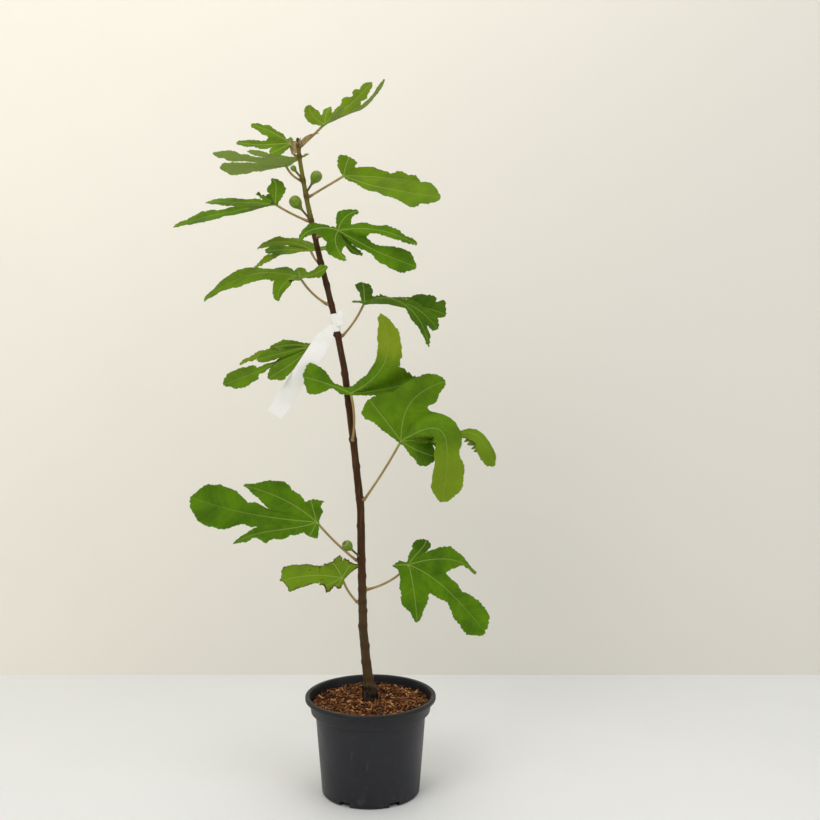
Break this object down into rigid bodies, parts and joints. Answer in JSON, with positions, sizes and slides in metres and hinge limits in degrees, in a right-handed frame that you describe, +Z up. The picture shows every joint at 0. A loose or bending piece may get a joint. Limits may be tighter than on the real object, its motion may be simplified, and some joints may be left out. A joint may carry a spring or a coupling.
{
  "type": "potted fig tree",
  "caption": "Young fig tree with one leaning stem, big lobed leaves and small green figs, in a round dark nursery pot with bark mulch and a blank tie-on label.",
  "frame": {"origin": "centre of the pot's flat underside, on the floor", "axes": "+Z up along the pot's axis, +X to the right and +Y to the back as the plant is seen in the picture"},
  "size_m": [0.4428, 0.1864, 1.0025],
  "materials": {
    "pot": "matt black moulded plastic",
    "compost": "rough bark chips",
    "bark": "smooth young bark",
    "label": "blank satin plastic",
    "leaf": "soft satin leaf",
    "fig": "satin green skin"
  },
  "bodies": {
    "root": {"pot": "pot", "compost": "compost", "trunk": "bark", "label": "label", "leaf_01": "leaf", "leaf_02": "leaf", "leaf_03": "leaf", "leaf_04": "leaf", "leaf_05": "leaf", "leaf_06": "leaf", "leaf_07": "leaf", "leaf_08": "leaf", "leaf_09": "leaf", "leaf_10": "leaf", "leaf_11": "leaf", "leaf_12": "leaf", "leaf_13": "leaf", "leaf_14": "leaf", "leaf_15": "leaf", "fig_01": "fig", "fig_02": "fig", "fig_03": "fig", "fig_04": "fig"}
  },
  "joints": []
}
